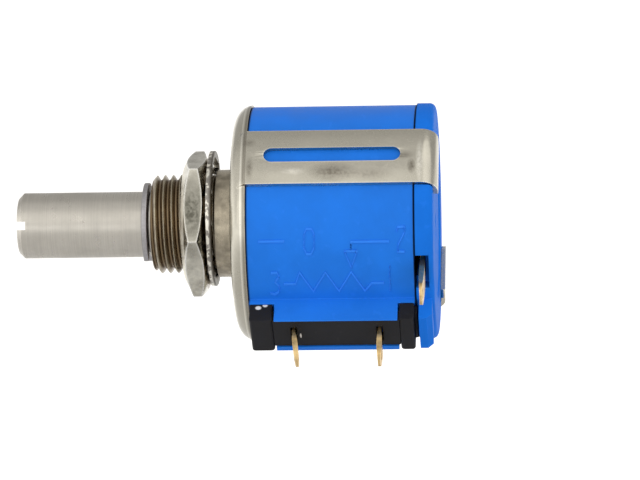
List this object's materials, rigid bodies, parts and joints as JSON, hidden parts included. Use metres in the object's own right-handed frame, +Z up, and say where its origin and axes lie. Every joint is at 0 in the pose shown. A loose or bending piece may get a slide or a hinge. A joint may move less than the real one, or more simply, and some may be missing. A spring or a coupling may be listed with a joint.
{
  "type": "rotary potentiometer",
  "caption": "Multi-turn rotary potentiometer: round housing in a slotted metal clamp, threaded panel bushing with nut and lock washer, plain slotted shaft and solder lugs.",
  "frame": {"origin": "centre of the mounting face, on the shaft's axis", "axes": "-X along the shaft to its tip, +X to the rear lid, +Z up; the terminals point down and to -Y"},
  "size_m": [0.0411, 0.0268, 0.0251],
  "materials": {
    "shaft_steel": "turned stainless steel, fine machining lines around the axis",
    "ring_steel": "dark spring steel",
    "bushing_brass": "nickel-plated brass",
    "nut_plating": "nickel-plated brass, scratched",
    "washer_steel": "nickel-plated spring steel, rough edge",
    "bracket_nickel": "satin nickel-plated sheet with smudges",
    "blue_plastic": "satin moulded blue plastic",
    "lid_plastic": "satin moulded blue plastic",
    "black_plastic": "matte black moulded plastic",
    "gold_plate": "gold-plated brass",
    "resistance_wire": "fine resistance wire wound on an insulated mandrel",
    "copper_wire": "bare copper",
    "rotor_plastic": "natural moulded plastic",
    "contact_alloy": "precious-metal contact alloy",
    "washer_plastic": "white low-friction plastic"
  },
  "bodies": {
    "frame": {"bushing": "bushing_brass", "clamp_bracket": "bracket_nickel", "housing": "blue_plastic", "rear_lid": "lid_plastic", "terminal_strip": "black_plastic", "terminal_1": "gold_plate", "terminal_2": "gold_plate", "terminal_3": "gold_plate", "resistance_element": "resistance_wire", "start_lead": "copper_wire", "end_lead": "copper_wire", "ring_brush": "contact_alloy"},
    "rotor": {"shaft": "shaft_steel", "retaining_ring": "ring_steel", "rotor_drum": "rotor_plastic", "collector_bar": "contact_alloy", "collector_ring": "contact_alloy", "thrust_washer": "washer_plastic"},
    "carriage": {"wiper_carriage": "rotor_plastic", "wiper_contact": "contact_alloy", "pickup_contact": "contact_alloy"},
    "washer": {"lock_washer": "washer_steel"},
    "nut": {"hex_nut": "nut_plating"}
  },
  "joints": [
    {"name": "shaft_turn", "type": "hinge", "parent": "frame", "child": "rotor", "pos_m": [0, 0, 0], "axis": [1, 0, 0], "range_deg": [-1800, 1800]},
    {"name": "carriage_slide", "type": "slide", "parent": "rotor", "child": "carriage", "axis": [1, 0, 0], "range_m": [-0.0061, 0.0061]},
    {"name": "washer_slide", "type": "slide", "parent": "frame", "child": "washer", "axis": [1, 0, 0], "range_m": [-0.0054, 0.0001]},
    {"name": "nut_turn", "type": "hinge", "parent": "washer", "child": "nut", "pos_m": [0, 0, 0], "axis": [1, 0, 0], "range_deg": [-2400, 40]}
  ],
  "couplings": [
    {"joint": "carriage_slide", "follows": "shaft_turn", "m_per_rad": 0.00019099},
    {"joint": "washer_slide", "follows": "nut_turn", "m_per_rad": 0.00012637}
  ]
}
